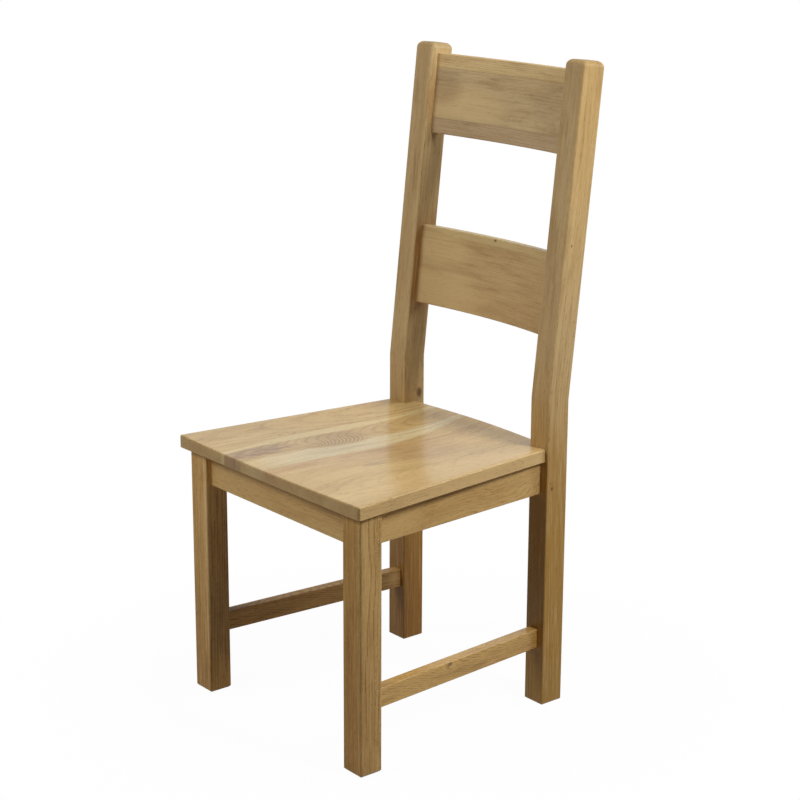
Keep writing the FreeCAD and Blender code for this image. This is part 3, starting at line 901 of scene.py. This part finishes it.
class CHAIR_OT_stretchers(bpy.types.Operator):
    """Finishes the two side stretchers"""

    bl_idname = "chair.stretchers"
    bl_label = "Stretchers"

    def execute(self, context):
        lays = {"left": left_side, "right": right_side}
        knots = {"left": (), "right": (((-46, 130, 202), 4.5),)}
        lacquer = {"left": 0.15, "right": 0.5}
        tints = {"left": (1.15, 1.06, 1.08), "right": (1.06, 0.96, 0.69)}
        for side, sign in SIDES.items():
            cut = Cut(
                lay=lays[side],
                seed=17 + sign,
                heart=(150, sign * 185),
                drift=(-0.2, sign * 0.1),
                ring=3.6,
                ring_depth=0.8,
                sway=40.0,
                fibre=0.4,
                mottle=0.5,
                tint=tints[side],
                lacquer=lacquer[side],
                knots=knots[side],
            )
            dress_in_oak(f"side_stretcher_{side}", cut)
        return {"FINISHED"}


class CHAIR_OT_slats(bpy.types.Operator):
    """Finishes the staves of the top slat and the middle slat"""

    bl_idname = "chair.slats"
    bl_label = "Slats"

    def execute(self, context):
        cuts = {
            "top_slat_upper_stave": Cut(
                lay=slatwise,
                seed=20,
                heart=(700, 10),
                fleck=0.4,
                tint=(1.25, 1.31, 1.6),
                marks=(glued_at(UPPER_GLUE_LINE),),
            ),
            "top_slat_centre_stave": Cut(
                lay=slatwise,
                seed=21,
                heart=(430, -50),
                drift=(0.06, 0.1),
                ring=4.5,
                ring_depth=0.12,
                fleck=0.3,
                tint=(1.07, 1.16, 1.55),
                marks=(
                    glued_at(UPPER_GLUE_LINE, LOWER_GLUE_LINE),
                    # Painted light on the stave's left, a painted shadow at its left end by the left
                    # post, and painted shade on its right.
                    patch((-95, 448), (120, 42), PAINTED_LIGHT_TONE, 0.8),
                    patch((-150, 475), (60, 40), PAINTED_SHADE_TONE, 0.5),
                    patch((120, 470), (80, 40), PAINTED_SHADE_TONE, 0.3),
                ),
            ),
            "top_slat_lower_stave": Cut(
                lay=slatwise,
                seed=22,
                heart=(250, 40),
                fleck=0.25,
                tint=(0.95, 1.0, 1.45),
                marks=(glued_at(LOWER_GLUE_LINE),),
            ),
            "middle_slat": Cut(
                lay=slatwise,
                seed=23,
                heart=(20, -60),
                drift=(0.02, 0.03),
                ring_depth=0.25,
                fleck=0.3,
                tint=(1.0, 1.01, 1.19),
                knots=(((6, 233, 13), 3),),
                # Besides the sapwood at its top, the marks paint light on the slat's left.
                marks=(sapwood_head_and_painted_light, patch((-120, 200), (90, 44), PAINTED_LIGHT_TONE, 0.75)),
            ),
        }
        for node, cut in cuts.items():
            cut.fibre = 0.3
            cut.pores = 0.12
            cut.mottle = 0.5
            dress_in_oak(node, cut)
        return {"FINISHED"}


class CHAIR_OT_seat(bpy.types.Operator):
    """Finishes the four boards of the seat"""

    bl_idname = "chair.seat"
    bl_label = "Seat"

    def execute(self, context):
        cuts = {
            "seat_edge_strip": Cut(
                lay=lengthwise, seed=30, heart=(-400, 400), fibre=0.4, mottle=0.5
            ),
            "seat_board_left": Cut(
                lay=lengthwise,
                seed=31,
                heart=(-190, 330),
                drift=(0.06, 0.05),
                ring=5.0,
                ring_depth=0.45,
                fibre=0.4,
                marks=(patch((-30, -180), (130, 45), LIGHT_TONE, 0.35), sapwood_edge),
            ),
            "seat_board_centre": Cut(
                lay=lengthwise,
                seed=32,
                heart=(-84, 330),
                drift=(0.02, 0.1),
                # The last mark is painted shade at the back of the board.
                marks=(dark_heart, nested_arches, pale_streak, long_lines, painted_rear_shade),
            ),
            "seat_board_right": Cut(
                lay=lengthwise,
                seed=33,
                heart=(170, 330),
                drift=(0.03, 0.09),
                ring=4.0,
                ring_depth=0.2,
                knots=(((-110, 238, 438), 3),),
                # The last mark is painted shade at the back of the board.
                marks=(warm_right, patch((10, 185), (330, 65), LIGHT_TONE, 0.6), painted_rear_shade),
            ),
        }
        for node, cut in cuts.items():
            cut.tint = (1.08, 1.09, 1.13)
            cut.lacquer = context.scene.chair_oak.seat_lacquer
            dress_in_oak(node, cut)
        return {"FINISHED"}


class CHAIR_OT_corner_blocks(bpy.types.Operator):
    """Finishes the four corner blocks under the seat"""

    bl_idname = "chair.corner_blocks"
    bl_label = "Corner blocks"

    def execute(self, context):
        for number, end in enumerate(("front", "rear")):
            for side, sign in SIDES.items():
                cut = Cut(
                    lay=crosswise,
                    seed=40 + 2 * number + sign,
                    heart=(330, 0),
                    drift=(0.05, 0.02),
                    lacquer=0.0,
                )
                dress_in_oak(f"corner_block_{end}_{side}", cut)
        return {"FINISHED"}


class CHAIR_OT_screws(bpy.types.Operator):
    """Finishes the screws that hold the seat"""

    bl_idname = "chair.screws"
    bl_label = "Screws"

    def execute(self, context):
        material = bpy.data.materials.new("steel_seat_screws")
        finish = Finish(material)
        x, y, z = finish.place()
        scuffs = finish.noise(x * 1.5, y * 1.5, z * 0.4)
        surface = finish.node(
            "ShaderNodeBsdfPrincipled",
            sockets={
                "Base Color": finish.blend(STEEL_TONE, SCUFF_TONE, scuffs),
                "Metallic": 1.0,
                "Roughness": 0.3 + scuffs * 0.2,
            },
        )
        finish.node("ShaderNodeOutputMaterial", sockets={"Surface": surface})
        dress("seat_screws", material)
        return {"FINISHED"}


def seen_directly(finish):
    """1 for what the camera sees, also in gloss and through glass."""
    camera, glossy, through = finish.node(
        "ShaderNodeLightPath", output=("Is Camera Ray", "Is Glossy Ray", "Is Transmission Ray")
    )
    return camera.most(glossy).most(through)


def mixed(finish, factor, first, second):
    """The first shader where the factor is 0, the second where it is 1."""
    return finish.node("ShaderNodeMixShader", sockets={0: factor, 1: first, 2: second})


def make_floor(stage):
    """A plain floor that the camera sees as white, with a faint shadow round the chair."""
    mesh = bpy.data.meshes.new("studio_floor")
    shape = bmesh.new()
    bmesh.ops.create_circle(
        shape, cap_ends=True, segments=FLOOR_SEGMENTS, radius=stage.floor_radius
    )
    shape.to_mesh(mesh)
    shape.free()
    floor = bpy.data.objects.new("studio_floor", mesh)
    bpy.context.scene.collection.objects.link(floor)
    material = bpy.data.materials.new("studio_floor")
    finish = Finish(material)
    matt = finish.node("ShaderNodeBsdfDiffuse", sockets={"Color": opaque(stage.floor_colour)})
    shaded = finish.node("ShaderNodeBsdfDiffuse", sockets={"Color": SHADED_WHITE})
    white = finish.node("ShaderNodeEmission", sockets={"Color": WHITE, "Strength": 1.0})
    x, y, _ = finish.place()
    near = finish.step((x * x + y * y).root(), SHADOW_RIM, SHADOW_CORE)
    pale = mixed(finish, 1 - near * stage.shadow, shaded, white)
    surface = mixed(finish, seen_directly(finish), matt, pale)
    finish.node("ShaderNodeOutputMaterial", sockets={"Surface": surface})
    mesh.materials.append(material)


def make_world(stage):
    """White all round, with a weaker light on the chair."""
    world = bpy.data.worlds.new("studio_world")
    bpy.context.scene.world = world
    finish = Finish(world)
    light = finish.node("ShaderNodeBackground", sockets={"Color": WHITE, "Strength": stage.ambient})
    white = finish.node("ShaderNodeBackground", sockets={"Color": WHITE, "Strength": 1.0})
    surface = mixed(finish, seen_directly(finish), light, white)
    finish.node("ShaderNodeOutputWorld", sockets={"Surface": surface})


def look_back(azimuth, elevation):
    """The direction from the chair to a point round it.

    Azimuth 0 is in front and a quarter turn is on the right.
    """
    level = math.cos(elevation)
    return Vector((math.sin(azimuth) * level, -math.cos(azimuth) * level, math.sin(elevation)))


def make_lamp(name, place, size, power):
    """A soft lamp of some width and height that faces the chair from a place round it."""
    azimuth, elevation, distance = place
    outward = look_back(math.radians(azimuth), math.radians(elevation))
    lamp = bpy.data.lights.new(name, "AREA")
    lamp.shape = "RECTANGLE"
    lamp.size, lamp.size_y = size
    lamp.energy = power
    holder = bpy.data.objects.new(name, lamp)
    holder.location = CHAIR_MIDDLE + outward * distance
    holder.rotation_mode = "QUATERNION"
    holder.rotation_quaternion = (-outward).to_track_quat("-Z", "Y")
    bpy.context.scene.collection.objects.link(holder)


class CHAIR_OT_stage(bpy.types.Operator):
    """Sets the floor, the world and the lamps"""

    bl_idname = "chair.stage"
    bl_label = "Stage"

    def execute(self, context):
        stage = context.scene.chair_stage
        context.scene.view_settings.view_transform = "Standard"
        make_floor(stage)
        make_world(stage)
        for name, (place, size) in LAMPS.items():
            make_lamp(f"{name}_lamp", place, size, getattr(stage, f"{name}_power"))
        return {"FINISHED"}


class CHAIR_OT_camera(bpy.types.Operator):
    """Sets the camera"""

    bl_idname = "chair.camera"
    bl_label = "Camera"

    def execute(self, context):
        setting = context.scene.chair_camera
        back = look_back(setting.azimuth, setting.elevation)
        right = Vector((math.cos(setting.azimuth), math.sin(setting.azimuth), 0.0))
        level = Matrix((right, back.cross(right), back)).transposed()
        turned = level @ Matrix.Rotation(setting.roll, 3, "Z")
        camera = bpy.data.cameras.new("camera")
        camera.lens = setting.lens
        camera.clip_end = CAMERA_REACH
        holder = bpy.data.objects.new("camera", camera)
        holder.matrix_world = Matrix.Translation(setting.place) @ turned.to_4x4()
        context.scene.collection.objects.link(holder)
        context.scene.camera = holder
        return {"FINISHED"}


STEPS = (
    CHAIR_OT_front_legs,
    CHAIR_OT_back_posts,
    CHAIR_OT_rails,
    CHAIR_OT_stretchers,
    CHAIR_OT_slats,
    CHAIR_OT_seat,
    CHAIR_OT_corner_blocks,
    CHAIR_OT_screws,
    CHAIR_OT_stage,
    CHAIR_OT_camera,
)
SETTINGS = {"chair_oak": ChairOak, "chair_stage": ChairStage, "chair_camera": ChairCamera}


class CHAIR_PT_panel(bpy.types.Panel):
    """Lists the settings and the steps"""

    bl_idname = "CHAIR_PT_panel"
    bl_label = "Ladder back chair"
    bl_space_type = "VIEW_3D"
    bl_region_type = "UI"
    bl_category = "Chair"

    def draw(self, context):
        for name, group in SETTINGS.items():
            box = self.layout.box()
            for field in group.__annotations__:
                box.prop(getattr(context.scene, name), field)
        for step in STEPS:
            self.layout.operator(step.bl_idname)


def register():
    """Adds the settings, the steps and the panel."""
    for item in (*SETTINGS.values(), *STEPS, CHAIR_PT_panel):
        bpy.utils.register_class(item)
    for name, group in SETTINGS.items():
        setattr(bpy.types.Scene, name, PointerProperty(type=group))


def unregister():
    """Takes the panel, the steps and the settings away."""
    for name in SETTINGS:
        delattr(bpy.types.Scene, name)
    for item in (CHAIR_PT_panel, *reversed(STEPS), *reversed(SETTINGS.values())):
        bpy.utils.unregister_class(item)


def main():
    """Runs every step."""
    register()
    for step in STEPS:
        group, name = step.bl_idname.split(".")
        getattr(getattr(bpy.ops, group), name)()


if __name__ == "__main__":
    main()
